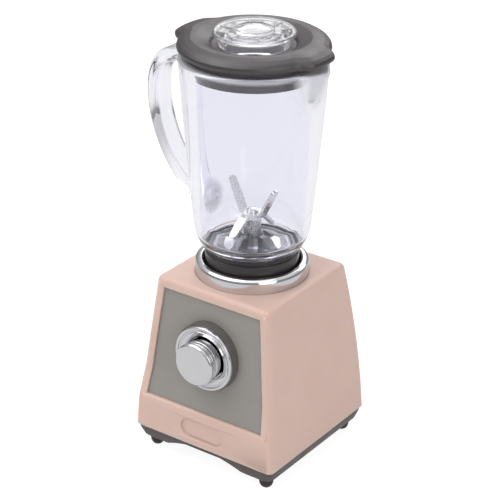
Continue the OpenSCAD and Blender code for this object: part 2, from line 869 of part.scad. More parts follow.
// the jar's ledge rests on the gasket, and its skirt goes over the collar
module jar_body() {
    ledge_r = floor_r + slip;
    ledge_h = jar_skirt + gasket_t;
    tube_loft([
        jar_ring(collar_r + slip, 0), jar_ring(jar_out(0) - 0.3, 0),
        jar_ring(jar_out(0) + 0.1, 0.3), jar_ring(jar_out(1), 1), jar_ring(jar_out(2.2), 2.2),
        jar_ring(jar_out(4), 4), jar_ring(jar_out(7), 7), jar_ring(jar_out(12), 12),
        jar_ring(jar_out(22), 22), jar_ring(jar_out(jar_h - spout_deep), jar_h - spout_deep),
        for (t = [0.2 : 0.2 : 0.8])
            let (h = jar_h - rim_r - (spout_deep - rim_r) * (1 - t)) jar_ring(jar_out(h), h),
        for (a = [0, 40, 80])
            jar_ring(jar_out(jar_h) - rim_r * (1 - cos(a)), jar_h - rim_r * (1 - sin(a))),
        jar_ring(jar_in(jar_h) + 0.5, jar_h), jar_ring(jar_in(jar_h - 0.5), jar_h - 0.5),
        for (t = [0.75 : -0.25 : 0])
            let (h = jar_h - rim_r - (spout_deep - rim_r) * (1 - t)) jar_ring(jar_in(h), h),
        jar_ring(jar_in(18), 18), jar_ring(jar_in(5), 5), jar_ring(jar_in(3.2) - 0.15, 3.2),
        jar_ring(jar_in(2.4) - 0.55, 2.4), jar_ring(ledge_r + 0.15, ledge_h + 0.65),
        jar_ring(ledge_r, ledge_h + 0.5), jar_ring(ledge_r, ledge_h),
        jar_ring(collar_r + slip, ledge_h)
    ]);
}

// middle of the handle's bar: share of the way out, and of the way up
handle_root_z = jar_z + 8.8;
handle_top_z = rim_z - 2.7;
handle_root_r = jar_low_d / 2 - 0.3;
handle_shares = [
    [0, 1], [0.46, 0.985], [0.83, 0.92], [1, 0.76], [0.97, 0.53],
    [0.78, 0.31], [0.48, 0.13], [0.12, 0.015], [-0.02, 0]
];
handle_mid = [
    for (s = handle_shares)
        [-mix(handle_root_r, handle_reach - handle_t / 2, s.x), mix(handle_root_z, handle_top_z, s.y)]
];

function curve_at(p, i, t) =
    let (
        last = len(p) - 1,
        a = p[max(0, i - 1)],
        b = p[i],
        c = p[min(last, i + 1)],
        d = p[min(last, i + 2)]
    )
    0.5 * (2 * b + (c - a) * t + (2 * a - 5 * b + 4 * c - d) * t * t
        + (3 * b - a - 3 * c + d) * t * t * t);

handle_path = [
    for (i = [0 : len(handle_mid) - 2], t = [0 : 0.25 : 0.75]) curve_at(handle_mid, i, t),
    handle_mid[len(handle_mid) - 1]
];

module handle() {
    last = len(handle_path) - 1;
    loft([
        for (k = [0 : last])
            let (
                a = handle_path[max(0, k - 1)],
                b = handle_path[min(last, k + 1)],
                along = (b - a) / norm(b - a),
                across = [-along.y, along.x],
                flare = pow(abs(2 * k / last - 1), 6),
                t = handle_t * (1 + 0.25 * flare),
                w = handle_w * (1 + 0.15 * flare),
                corner = handle_t * 0.36,
                flat = round_ring(w / 2, t / 2, t / 2, corner, 0, 3)
            )
            [
                for (p = flat)
                    let (q = handle_path[k] + across * p.y)
                    [q.x, p.x, q.y]
            ]
    ]);
}

module jar() {
    color([0.9, 0.9, 0.94, 0.4])
        union() {
            jar_body();
            handle();
        }
}

arm_h = 3.2;

// floor inside the jar: disc with a raised rim and four arms round the bush
module blade_seat() {
    r = floor_r - 0.3;
    color([0.55, 0.55, 0.57])
        difference() {
            union() {
                translate([0, 0, jar_floor_z])
                    rotate_extrude($fn = 96)
                        polygon([
                            [0, 0], [r, 0], [r, 0.5], [r - 0.25, 0.85], [r - 0.75, 0.9],
                            [r - 1, 0.6], [r - 1.2, 0.35], [0, 0.35]
                        ]);
                translate([0, 0, jar_floor_z])
                    cylinder(r = bush_r + 0.55, h = arm_h, $fn = fine);
                for (turn = [0, 90, 180, 270])
                    rotate([0, 0, turn - 4])
                        seat_arm();
            }
            translate([0, 0, jar_floor_z - 1])
                cylinder(r = bush_r, h = 6, $fn = fine);
        }
}

// one of the arms that droop from the bearing's collar to the floor
module seat_arm() {
    translate([0, 0.9, jar_floor_z])
        rotate([90, 0, 0])
            linear_extrude(height = 1.8)
                polygon([
                    [1.6, 0.2], [1.6, arm_h - 0.2], [2.4, arm_h - 0.25], [3.4, arm_h - 0.75],
                    [4.5, arm_h - 1.5], [5.5, arm_h - 2.15], [6.1, arm_h - 2.4],
                    [6.3, arm_h - 2.65], [6.3, 0.2]
                ]);
}

module shaft_bush() {
    color([0.75, 0.6, 0.35])
        difference() {
            translate([0, 0, web_z - 0.6])
                cylinder(r = bush_r - run, h = jar_floor_z - web_z + 1.2, $fn = fine);
            translate([0, 0, web_z - 2])
                cylinder(r = shaft_d / 2 + run, h = 12, $fn = fine);
        }
}

// ---------------------------------------------------------------- blades

hub_z = jar_floor_z + hub_h;
hub_r = 2.3;
bend_r = 2.7;
blades_turn = -8;

module blade_shaft() {
    color([0.75, 0.75, 0.77])
        translate([0, 0, driven_z - dog_t])
            cylinder(r = shaft_d / 2, h = hub_z + 2 * blade_t + 0.3 - driven_z + dog_t, $fn = fine);
}

module blade_post() {
    color([0.72, 0.72, 0.72])
        difference() {
            translate([0, 0, jar_floor_z + 0.7])
                rotate_extrude($fn = fine)
                    polygon([
                        [0, 0], [post_d / 2 - 0.2, 0], [post_d / 2, 0.3],
                        [post_d / 2, hub_h - 1.2], [post_d / 2 - 0.3, hub_h - 0.7], [0, hub_h - 0.7]
                    ]);
            translate([0, 0, jar_floor_z])
                cylinder(r = shaft_d / 2, h = hub_h + 1, $fn = fine);
        }
}

// pressed strip: a hub disc with two arms that bend up (rise > 0) or down
module blade_pair(reach, rise) {
    run_out = reach - bend_r;
    length = norm([run_out, rise]);
    slope = atan2(rise, run_out);
    difference() {
        union() {
            cylinder(r = hub_r, h = blade_t, $fn = fine);
            for (turn = [0, 180])
                rotate([0, 0, turn]) {
                    translate([0, -blade_w / 2, 0])
                        cube([bend_r, blade_w, blade_t]);
                    translate([bend_r, 0, blade_t / 2]) {
                        rotate([90, 0, 0])
                            cylinder(r = blade_t / 2, h = blade_w, center = true, $fn = 32);
                        rotate([0, -slope, 0])
                            translate([0, 0, -blade_t / 2])
                                linear_extrude(height = blade_t)
                                    blade_outline(length);
                    }
                }
        }
        translate([0, 0, -1])
            cylinder(r = shaft_d / 2, h = 3, $fn = fine);
    }
}

module blade_outline(length) {
    tip_r = blade_w * 0.42;
    polygon([
        [0, -blade_w / 2], [length * 0.45, -blade_w * 0.54], [length - tip_r, -tip_r],
        for (a = [-67.5 : 22.5 : 67.5]) [length - tip_r + tip_r * cos(a), tip_r * sin(a)],
        [length - tip_r, tip_r], [length * 0.45, blade_w * 0.5], [0, blade_w / 2]
    ]);
}

module lower_blades() {
    color([0.72, 0.72, 0.73])
        translate([0, 0, hub_z])
            rotate([0, 0, blades_turn + 90])
                blade_pair(lower_reach, -lower_drop);
}

module upper_blades() {
    color([0.74, 0.74, 0.75])
        translate([0, 0, hub_z + blade_t])
            rotate([0, 0, blades_turn])
                blade_pair(upper_reach, upper_rise);
}

module blade_nut() {
    color([0.72, 0.72, 0.73])
        translate([0, 0, hub_z + 2 * blade_t])
            difference() {
                rotate_extrude($fn = fine)
                    polygon([
                        [0, 0], [1.35, 0], [1.35, 0.45],
                        for (a = [30 : 20 : 90]) [1.35 * cos(a) * 1.1, 0.2 + 0.75 * sin(a)]
                    ]);
                translate([0, 0, -1])
                    cylinder(r = shaft_d / 2, h = 1.3 + eps, $fn = fine);
            }
}

// ---------------------------------------------------------------- lid and cap

lid_z = rim_z + 0.1;
plug_r = bore_top_d / 2 - plug_gap;

// how much of an ear a point at angle a takes
function ear_share(turn) = smooth((24 - abs(turn)) / 14);
function ear_out(a) =
    ear_front * ear_share(a > 180 ? a - 360 : a) + ear_back * ear_share(a - 180);

lid_angles = [
    for (a = [-27 : 3 : 27]) a < 0 ? a + 360 : a,
    for (a = [34.5 : 7.4 : 145]) a,
    for (a = [153 : 3 : 207]) a,
    for (a = [214.5 : 7.4 : 325.5]) a
];

// ring of the lid: radius, height above the lid's seat, share of the ears
function lid_ring(r, h, share = 0) = [
    for (a = lid_angles)
        let (q = r + share * ear_out(a))
        [q * cos(a), q * sin(a), lid_z + h]
];

module lid() {
    r = lid_d / 2;
    hole = hole_d / 2;
    color([0.28, 0.24, 0.26])
        tube_loft([
            lid_ring(r - 1.6, 0), lid_ring(r - 1.4, 0.23 * lid_h, 0.3),
            lid_ring(r - 0.75, 0.27 * lid_h, 0.95), lid_ring(r - 0.2, 0.36 * lid_h, 1),
            lid_ring(r, 0.49 * lid_h, 1), lid_ring(r - 0.15, 0.62 * lid_h, 0.98),
            lid_ring(r - 0.6, 0.76 * lid_h, 0.9), lid_ring(r - 1.6, 0.9 * lid_h, 0.7),
            lid_ring(r - 2.9, 0.99 * lid_h, 0.35), lid_ring(hole + 4.8, 0.98 * lid_h),
            lid_ring(hole + 3.2, mix(bowl_h, lid_h, 0.65)), lid_ring(hole + 2, mix(bowl_h, lid_h, 0.4)),
            // bowl round the hole
            lid_ring(hole + 1.7, mix(bowl_h, lid_h, 0.25)), lid_ring(hole + 1.4, bowl_h + 0.05),
            lid_ring(hole + 0.2, bowl_h), lid_ring(hole, bowl_h - 0.2),
            lid_ring(hole, bowl_h - 1.3), lid_ring(hole + 1.4, bowl_h - 1.3),
            lid_ring(hole + 2.4, bowl_h - 0.4), lid_ring(plug_r - 1.4, bowl_h - 0.4),
            // plug inside the jar
            lid_ring(plug_r - 1.1, -plug_deep), lid_ring(plug_r - 0.2, -plug_deep),
            lid_ring(plug_r, -plug_deep + 0.3), lid_ring(plug_r, 0)
        ]);
}

cap_z = lid_z + cap_seat + 0.05;

// cup with a neck that stands on the bowl's floor, a wide flange and a knob
module cap() {
    r = cap_d / 2;
    plug = hole_d / 2 - plug_gap;
    neck = hole_d / 2 + 0.3;
    neck_low = bowl_h - cap_seat;
    knob = knob_d / 2;
    color([0.9, 0.9, 0.93, 0.45]) {
        translate([0, 0, cap_z])
            rotate_extrude($fn = 96)
                polygon([
                    [plug - 1, -5], [plug - 0.4, -5], [plug, -4.6], [plug, neck_low],
                    [neck, neck_low], [neck, 0], [r - 0.5, 0], [r - 0.1, 0.3],
                    [r, 0.7], [r - 0.25, 1], [r - 0.7, 1], [knob + 1.2, 0.6], [knob, 0.55],
                    [knob - 0.05, 1.25], [knob - 0.35, 1.5], [knob * 0.5, 1.58], [0, 1.6],
                    [0, -0.2], [plug - 1.2, -0.2]
                ]);
        for (turn = [0 : 60 : 300])
            rotate([0, 0, turn + 15])
                translate([knob - 0.2, -0.18, cap_z + 0.3])
                    cube([r - knob - 0.7, 0.36, 0.65]);
    }
}

// ---------------------------------------------------------------- nodes

body_shell();
front_panel();
button_bezel();
collar_ring();
base_plate();
battery_door();
door_screw();
base_screws();
foot_front_left();
foot_front_right();
foot_back_left();
foot_back_right();
cell_left();
cell_middle();
cell_right();
contact_plus();
contact_minus();
motor();
motor_bracket();
bracket_screws();
switch_board();
board_screws();
switch_leaf();
switch_rivet();
button();
motor_shaft();
drive_dog();
jar();
jar_collar();
jar_gasket();
blade_seat();
shaft_bush();
blade_shaft();
blade_post();
lower_blades();
upper_blades();
blade_nut();
driven_dog();
lid();
cap();
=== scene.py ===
"""Looks of the toy blender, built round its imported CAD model.

Lengths in the code are millimetres. The meshes are made in metres.
"""

import math

import bmesh
import bpy
import numpy as np
from mathutils import Matrix, Vector


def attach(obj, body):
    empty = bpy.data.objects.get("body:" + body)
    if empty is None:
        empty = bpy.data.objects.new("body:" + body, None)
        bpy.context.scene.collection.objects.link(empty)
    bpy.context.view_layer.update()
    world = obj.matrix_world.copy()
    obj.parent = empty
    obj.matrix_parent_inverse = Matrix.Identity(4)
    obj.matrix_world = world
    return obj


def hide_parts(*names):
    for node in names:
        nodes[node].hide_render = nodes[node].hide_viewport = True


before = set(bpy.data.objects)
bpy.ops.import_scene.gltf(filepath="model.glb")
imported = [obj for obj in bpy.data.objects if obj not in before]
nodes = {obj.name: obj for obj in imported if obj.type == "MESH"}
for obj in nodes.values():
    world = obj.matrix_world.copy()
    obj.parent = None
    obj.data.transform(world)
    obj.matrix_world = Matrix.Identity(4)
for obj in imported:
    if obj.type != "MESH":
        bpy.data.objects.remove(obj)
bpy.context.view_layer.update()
scene = bpy.context.scene
MM = 0.001

# ------------------------------------------------------------------ levels of the CAD model

BODY_Z = 5.8
BODY_H = 37.1
TOP_Z = BODY_Z + BODY_H
SOCKET_DEEP = 2.9
SOCKET_Z = TOP_Z - SOCKET_DEEP
COLLAR_H = 9.2
GASKET_T = 0.3
JAR_Z = SOCKET_Z + COLLAR_H + GASKET_T
JAR_H = 43.5
RIM_Z = JAR_Z + JAR_H
BUTTON_H = 22.4
BUTTON_Z = BODY_Z + BUTTON_H
LID_GAP = 0.1
LID_Z = RIM_Z + LID_GAP
CAP_SEAT = 4.35
CAP_Z = LID_Z + CAP_SEAT

# ------------------------------------------------------------------ meshes

# faces that meet at more than this many degrees meet in a sharp edge
SHARP = 35
SHARP_JAR = 38
SHARP_TURNED = 50
SHARP_LID = 45
SHARP_CAP = 40
SHARP_RIB = 30
SHARP_CAD = 32
SHARP_PANEL = 7

# points round a ring
ROUND = 160
ROUND_FINE = 192
ROUND_COLLAR = 224
ROUND_JAR = 240


def smooth_step(t):
    t = max(0.0, min(1.0, t))
    return t * t * (3 - 2 * t)


def mix(a, b, t):
    return a + (b - a) * t


def new_object(name, verts, faces, angle=SHARP):
    """Mesh object from points in millimetres, smooth except at its sharp edges."""
    mesh = bpy.data.meshes.new(name)
    mesh.from_pydata([tuple(c * MM for c in v) for v in verts], [], faces)
    mesh.validate()
    mesh.update()
    ob = bpy.data.objects.new(name, mesh)
    scene.collection.objects.link(ob)
    smooth(ob, angle)
    return ob


def smooth(ob, angle):
    mesh = ob.data
    mesh.shade_smooth()
    mesh.set_sharp_from_angle(angle=math.radians(angle))


def weigh_normals(ob):
    m = ob.modifiers.new("normals", "WEIGHTED_NORMAL")
    m.keep_sharp = True
    m.weight = 80


def bevel(ob, width, segments=2, angle=40):
    m = ob.modifiers.new("bevel", "BEVEL")
    m.width = width * MM
    m.segments = segments
    m.limit_method = "ANGLE"
    m.angle_limit = math.radians(angle)
    m.miter_outer = "MITER_ARC"
    m.harden_normals = True


def rounded(points, closed=True, steps=5):
    """Outline with its corners rounded: each point is (x, y) or (x, y, radius)."""
    out = []
    n = len(points)
    for i, p in enumerate(points):
        r = p[2] if len(p) > 2 else 0
        if r <= 0 or (not closed and i in (0, n - 1)):
            out.append((p[0], p[1]))
            continue
        a, b, c = (Vector(q[:2]) for q in (points[i - 1], p, points[(i + 1) % n]))
        u, v = (a - b).normalized(), (c - b).normalized()
        half = math.acos(max(-1, min(1, u.dot(v)))) / 2
        if half > math.radians(89):
            out.append((p[0], p[1]))
            continue
        cut = min(r / math.tan(half), (a - b).length * 0.48, (c - b).length * 0.48)
        r = cut * math.tan(half)
        mid = b + (u + v).normalized() * (r / math.sin(half))
        s, e = b + u * cut - mid, b + v * cut - mid
        turn = math.atan2(s.x * e.y - s.y * e.x, s.dot(e))
        for k in range(steps + 1):
            t = turn * k / steps
            x = s.x * math.cos(t) - s.y * math.sin(t)
            y = s.x * math.sin(t) + s.y * math.cos(t)
            out.append((mid.x + x, mid.y + y))
    return out


def lathe(name, profile, place, segments=ROUND, closed=False, angle=SHARP):
    """Solid of revolution. The profile is (radius, height), and place(r, h, a) gives a point."""
    verts, rings = [], []
    for r, h in profile:
        if r < 1e-6:
            rings.append([len(verts)])
            verts.append(place(0, h, 0))
        else:
            rings.append(list(range(len(verts), len(verts) + segments)))
            verts += [place(r, h, 2 * math.pi * k / segments) for k in range(segments)]
    faces = []
    pairs = list(zip(rings, rings[1:])) + ([(rings[-1], rings[0])] if closed else [])
    for a, b in pairs:
        for k in range(segments):
            j = (k + 1) % segments
            if len(a) == 1 and len(b) == 1:
                continue
            if len(a) == 1:
                faces.append((a[0], b[k], b[j]))
            elif len(b) == 1:
                faces.append((a[k], b[0], a[j]))
            else:
                faces.append((a[k], b[k], b[j], a[j]))
    ob = new_object(name, verts, faces, angle)
    outward(ob)
    smooth(ob, angle)
    return ob


def outward(ob):
    """Turns every face outwards."""
    bm = bmesh.new()
    bm.from_mesh(ob.data)
    bmesh.ops.recalc_face_normals(bm, faces=bm.faces)
    bm.to_mesh(ob.data)
    bm.free()


def upright(r, h, a):
    return (r * math.cos(a), r * math.sin(a), h)


def forward(r, h, a):
    """Round the button's axis, h in front of the jar's axis."""
    return (r * math.cos(a), -h, BUTTON_Z + r * math.sin(a))


def loft(name, rings, loop=False, angle=SHARP):
    """Skin through rings of equally many points, closed by caps or, with loop, on itself."""
    n = len(rings[0])
    verts = [p for ring in rings for p in ring]
    faces = []
    for k in range(len(rings) if loop else len(rings) - 1):
        m = (k + 1) % len(rings)
        for i in range(n):
            j = (i + 1) % n
            faces.append((k * n + i, m * n + i, m * n + j, k * n + j))
    if not loop:
        faces.append(tuple(range(n)))
        faces.append(tuple(len(verts) - 1 - i for i in range(n)))
    ob = new_object(name, verts, faces, angle)
    outward(ob)
    smooth(ob, angle)
    return ob


def unite(ob, tools):
    """Unites ob with its tools and deletes them."""
    for tool in tools:
        m = ob.modifiers.new(tool.name, "BOOLEAN")
        m.operation = "UNION"
        m.solver = "EXACT"
        m.object = tool
    bpy.context.view_layer.update()
    made = bpy.data.meshes.new_from_object(ob.evaluated_get(bpy.context.evaluated_depsgraph_get()))
    ob.modifiers.clear()
    ob.data = made
    for tool in tools:
        bpy.data.objects.remove(tool)


# ------------------------------------------------------------------ materials


def span(tree, value, low, high, start=0.0, stop=1.0, kind="LINEAR"):
    """Goes from low to high as value goes from start to stop. Each is a number or a socket."""
    node = tree.nodes.new("ShaderNodeMapRange")
    node.interpolation_type = kind
    given = {"Value": value, "From Min": start, "From Max": stop, "To Min": low, "To Max": high}
    for socket, what in given.items():
        if isinstance(what, (int, float)):
            node.inputs[socket].default_value = what
        else:
            tree.links.new(what, node.inputs[socket])
    return node.outputs["Result"]


def larger(tree, first, *others):
    """The largest of the sockets."""
    for other in others:
        node = tree.nodes.new("ShaderNodeMath")
        node.operation = "MAXIMUM"
        tree.links.new(first, node.inputs[0])
        tree.links.new(other, node.inputs[1])
        first = node.outputs[0]
    return first


class Look:
    """A node material: Principled shader with noise-driven colour, roughness and bump."""

    def __init__(self, name, base, rough, **fixed):
        self.mat = bpy.data.materials.new(name)
        self.mat.use_nodes = True
        self.tree = self.mat.node_tree
        self.shader = self.tree.nodes["Principled BSDF"]
        self.put("Base Color", (*base, 1))
        self.put("Roughness", rough)
        for k, v in fixed.items():
            self.put(k.replace("_", " "), v)
        self.base = base
        self.coord = self.tree.nodes.new("ShaderNodeTexCoord")
        self.last_bump = None

    def put(self, socket, value):
        self.shader.inputs[socket].default_value = value

    def noise(self, scale, detail=3, rough=0.55, stretch=None):
        node = self.tree.nodes.new("ShaderNodeTexNoise")
        node.inputs["Scale"].default_value = scale
        node.inputs["Detail"].default_value = detail
        node.inputs["Roughness"].default_value = rough
        source = self.coord.outputs["Object"]
        if stretch:
            mapping = self.tree.nodes.new("ShaderNodeMapping")
            mapping.inputs["Scale"].default_value = stretch
            self.tree.links.new(source, mapping.inputs["Vector"])
            source = mapping.outputs["Vector"]
        self.tree.links.new(source, node.inputs["Vector"])
        return node.outputs["Fac"]

    def along(self, axis, low, high, top=1.0):
        """0 where the coordinate is below low, top where it is above high."""
        axes = self.tree.nodes.new("ShaderNodeSeparateXYZ")
        self.tree.links.new(self.coord.outputs["Object"], axes.inputs[0])
        return span(self.tree, axes.outputs[axis], 0.0, top, low * MM, high * MM)

    def radius(self, low, high, top=1.0, centre=(0, 0, 0), across=(1, 1, 0)):
        """0 at the radius low from centre and top at high, which may be the smaller one.

        across says which axes the radius counts.
        """
        moved = self.tree.nodes.new("ShaderNodeVectorMath")
        moved.operation = "SUBTRACT"
        moved.inputs[1].default_value = [c * MM for c in centre]
        self.tree.links.new(self.coord.outputs["Object"], moved.inputs[0])
        flat = self.tree.nodes.new("ShaderNodeVectorMath")
        flat.operation = "MULTIPLY"
        flat.inputs[1].default_value = across
        self.tree.links.new(moved.outputs["Vector"], flat.inputs[0])
        size = self.tree.nodes.new("ShaderNodeVectorMath")
        size.operation = "LENGTH"
        self.tree.links.new(flat.outputs["Vector"], size.inputs[0])
        return span(self.tree, size.outputs["Value"], 0.0, top, low * MM, high * MM)

    def paint_light(self, mask, weight, rough):
        """Where mask is 1 the clear plastic turns milky and rough: painted light, standing in for
        the bright glints and bands that clear plastic shows there and covering dark refractions.
        """
        held = self.shader.inputs["Roughness"].links[0].from_socket
        self.tree.links.new(span(self.tree, mask, held, rough), self.shader.inputs["Roughness"])
        self.tree.links.new(
            span(self.tree, mask, 1.0, weight), self.shader.inputs["Transmission Weight"]
        )

    def colour(self, fac, other, low=0.35, high=0.65):
        """Base colour goes from base to other as fac goes from low to high."""
        ramp = self.tree.nodes.new("ShaderNodeValToRGB")
        ramp.color_ramp.elements[0].position = low
        ramp.color_ramp.elements[0].color = (*self.base, 1)
        ramp.color_ramp.elements[1].position = high
        ramp.color_ramp.elements[1].color = (*other, 1)
        self.tree.links.new(fac, ramp.inputs["Fac"])
        self.tree.links.new(ramp.outputs["Color"], self.shader.inputs["Base Color"])

    def roughness(self, fac, low, high):
        """Roughness goes from low to high with fac, which is a noise round 0.5."""
        rough = span(self.tree, fac, low, high, 0.3, 0.7)
        self.tree.links.new(rough, self.shader.inputs["Roughness"])

    def bump(self, height, strength, distance):
        node = self.tree.nodes.new("ShaderNodeBump")
        node.inputs["Strength"].default_value = strength
        node.inputs["Distance"].default_value = distance * MM
        self.tree.links.new(height, node.inputs["Height"])
        if self.last_bump:
            self.tree.links.new(self.last_bump.outputs["Normal"], node.inputs["Normal"])
        self.tree.links.new(node.outputs["Normal"], self.shader.inputs["Normal"])
        self.last_bump = node

    def clear_to_lamps(self):
        """Glass whose shadow is light: lamps and scattered light shine through it."""
        tree = self.tree
        out = tree.nodes["Material Output"]
        path = tree.nodes.new("ShaderNodeLightPath")
        blend = tree.nodes.new("ShaderNodeMixShader")
        clear = tree.nodes.new("ShaderNodeBsdfTransparent")
        clear.inputs["Color"].default_value = (0.93, 0.93, 0.96, 1)
        passing = larger(tree, path.outputs["Is Shadow Ray"], path.outputs["Is Diffuse Ray"])
        tree.links.new(passing, blend.inputs["Fac"])
        tree.links.new(self.shader.outputs["BSDF"], blend.inputs[1])
        tree.links.new(clear.outputs["BSDF"], blend.inputs[2])
        tree.links.new(blend.outputs["Shader"], out.inputs["Surface"])


def moulded(name, base, other, rough, grain=900, strength=0.12, **fixed):
    """Moulded plastic: slight mottle, uneven gloss and fine grain."""
    look = Look(name, base, rough, **fixed)
    look.colour(look.noise(120, 4), other)
    look.roughness(look.noise(260, 3), rough - 0.05, rough + 0.07)
    look.bump(look.noise(grain, 2), strength, 0.02)
    return look


pink = moulded(
    "pink_plastic", (0.76, 0.545, 0.465), (0.745, 0.532, 0.452), 0.42,
    Subsurface_Weight=0.5, Subsurface_Radius=(1.0, 0.5, 0.35), Subsurface_Scale=0.0018,
)
# painted shade: the raised boss round the bezel is painted darker than the rest of the panel, as
# the shade on its side and in the bezel's chrome
BOSS_R = 7.88
panel = moulded("panel_plastic", (0.12, 0.113, 0.105), (0.12, 0.113, 0.105), 0.36)
off_boss_shade = panel.radius(BOSS_R, BOSS_R + 0.02, centre=(0, 0, BUTTON_Z), across=(1, 0, 1))
panel.colour(off_boss_shade, (0.315, 0.297, 0.272), low=0.4, high=0.6)
plate_look = moulded("base_plastic", (0.085, 0.073, 0.068), (0.076, 0.065, 0.06), 0.4)
lid_look = moulded(
    "lid_plastic", (0.034, 0.025, 0.03), (0.031, 0.023, 0.027), 0.42,
    grain=1400, Specular_IOR_Level=0.95,
)
collar_look = moulded("collar_plastic", (0.022, 0.018, 0.019), (0.03, 0.025, 0.026), 0.22)
feet_look = moulded("foot_rubber", (0.024, 0.02, 0.02), (0.03, 0.025, 0.025), 0.5)
dog_look = moulded("dog_plastic", (0.03, 0.03, 0.032), (0.04, 0.04, 0.042), 0.45)
board_look = moulded("board", (0.03, 0.1, 0.045), (0.035, 0.12, 0.055), 0.5)
natural_look = moulded("natural_plastic", (0.72, 0.72, 0.69), (0.68, 0.68, 0.65), 0.45)
seal_look = moulded("seal_rubber", (0.012, 0.012, 0.012), (0.018, 0.018, 0.018), 0.6)


def plated(name, base, rough):
    """Plating or sheet metal: slightly uneven tone, gloss and flatness."""
    look = Look(name, base, rough, Metallic=1.0)
    look.colour(look.noise(90, 2), tuple(c * 0.965 for c in base))
    look.roughness(look.noise(500, 4), rough * 0.7, rough * 1.8)
    look.bump(look.noise(160, 2), 0.05, 0.03)
    return look


chrome = plated("bright_plating", (0.67, 0.67, 0.685), 0.075)
steel_look = plated("steel", (0.62, 0.62, 0.63), 0.24)
cell_look = plated("cell_can", (0.7, 0.7, 0.72), 0.2)
brass_look = plated("brass", (0.72, 0.55, 0.27), 0.25)


def pitted(name, base, dark, low, high, bump):
    """Silver coat on a rough casting: pits that darken as the noise goes from low to high."""
    look = Look(name, base, 0.25, Metallic=0.9)
    pits = look.noise(4200, 3, 0.6)
    look.colour(pits, dark, low, high)
    look.roughness(look.noise(1800, 3), 0.14, 0.34)
    look.bump(pits, bump, 0.06)
    return look


silver = pitted(
    "pitted_silver", (0.7, 0.7, 0.7), (0.16, 0.16, 0.16), low=0.45, high=0.62, bump=0.4,
)
blade_look = pitted(
    "blade_silver", (0.8, 0.8, 0.8), (0.42, 0.42, 0.42), low=0.52, high=0.66, bump=0.2,
)

# bright plated floor; the raised arms and a ring painted dark, as painted shade and a painted
# reflection of the blades; and a bright dull band outside the ring
seat_look = Look("seat_plating", (0.62, 0.62, 0.63), 0.2, Metallic=0.85)
seat = seat_look.tree
outer_band = seat_look.radius(7.3, 7.7)
raised_shade = seat_look.along("Z", JAR_Z + 0.9, JAR_Z + 1.1)
ring_shade = seat_look.radius(5.9, 6.2, top=span(seat, outer_band, 1.0, 0.0))
seat_look.colour(larger(seat, raised_shade, ring_shade), (0.17, 0.17, 0.18), low=0.2, high=0.8)
seat.links.new(span(seat, outer_band, 0.85, 0.1), seat_look.shader.inputs["Metallic"])
seat_look.roughness(seat_look.noise(700, 3), 0.12, 0.3)
seat_look.bump(seat_look.noise(500, 3), 0.2, 0.05)


def clear_plastic(name, tint, rough, wave=0.25, weight=1.0):
    """Clear moulding with faint upright waves. Its index is that of acrylic."""
    look = Look(name, tint, rough, Transmission_Weight=weight, IOR=1.49)
    look.roughness(look.noise(220, 3), rough * 0.5, rough * 2.2 + 0.004)
    look.bump(look.noise(75, 2, stretch=(1, 1, 0.25)), wave, 0.05)
    look.clear_to_lamps()
    return look


# painted light: the jar turns milky white in the spout, on the rim and in the core of the handle's
# lower root, for the bright glints and bands there and over dark refractions
jar_look = clear_plastic("clear_jar", (0.91, 0.908, 0.965), 0.012)
spout_mask = jar_look.along("Z", RIM_Z - 9.5, RIM_Z - 5.5, top=jar_look.along("X", 14.3, 15.6))
rim_mask = jar_look.along("Z", RIM_Z - 1.2, RIM_Z - 0.5, top=0.6)
root_mask = jar_look.radius(4.6, 2.8, 0.75, centre=(-13.2, 0, JAR_Z + 9), across=(1, 1, 1))
painted_light_mask = larger(jar_look.tree, spout_mask, rim_mask, root_mask)
jar_look.paint_light(painted_light_mask, weight=0.22, rough=0.2)
cap_look = clear_plastic("clear_cap", (0.95, 0.95, 0.965), 0.02, wave=0.06, weight=0.95)


def paint(ob, look):
    ob.data.materials.clear()
    ob.data.materials.append(look.mat)


# ------------------------------------------------------------------ jar

SPOUT_OUT = 2.9
SPOUT_DEEP = 9.5
SPOUT_HALF_LOW = 8
SPOUT_HALF_TOP = 21
SPOUT_GROOVE = 0.6
JAR_FOOT_R = 10.95
JAR_LOW_R = 12.95
JAR_TOP_R = 16.1
FOOT_CURVE_H = 7
BORE_LOW_R = 11.0
BORE_TOP_R = 12.35
BORE_LOW_H = 3
SKIRT_IN_R = 10.5
LEDGE_R = 9.7
RIM_R = 0.9
RIM_IN_R = 0.5


def jar_out(h):
    """Outer radius at the height h over the jar's foot: a curved foot, then a slight barrel."""
    if h < FOOT_CURVE_H:
        return mix(JAR_FOOT_R, JAR_LOW_R, 1 - (1 - h / FOOT_CURVE_H) ** 2.2)
    return mix(JAR_LOW_R, JAR_TOP_R, ((h - FOOT_CURVE_H) / (JAR_H - FOOT_CURVE_H)) ** 0.86)


def jar_in(h):
    """Inner radius at the height h over the jar's foot."""
    return mix(BORE_LOW_R, BORE_TOP_R, (h - BORE_LOW_H) / (JAR_H - BORE_LOW_H))


def spout_at(h, a):
    """Share of the spout's reach at the height h and the turn a. The spout widens upwards."""
    s = max(0.0, (h - JAR_H + SPOUT_DEEP) / SPOUT_DEEP)
    half = mix(SPOUT_HALF_LOW, SPOUT_HALF_TOP, s)
    turn = abs(math.degrees(math.atan2(math.sin(a), math.cos(a))))
    turn = math.sqrt(turn * turn + 1.0) - 1.0
    share = max(0.0, 1 - turn / half)
    return s**1.5 * share**1.15


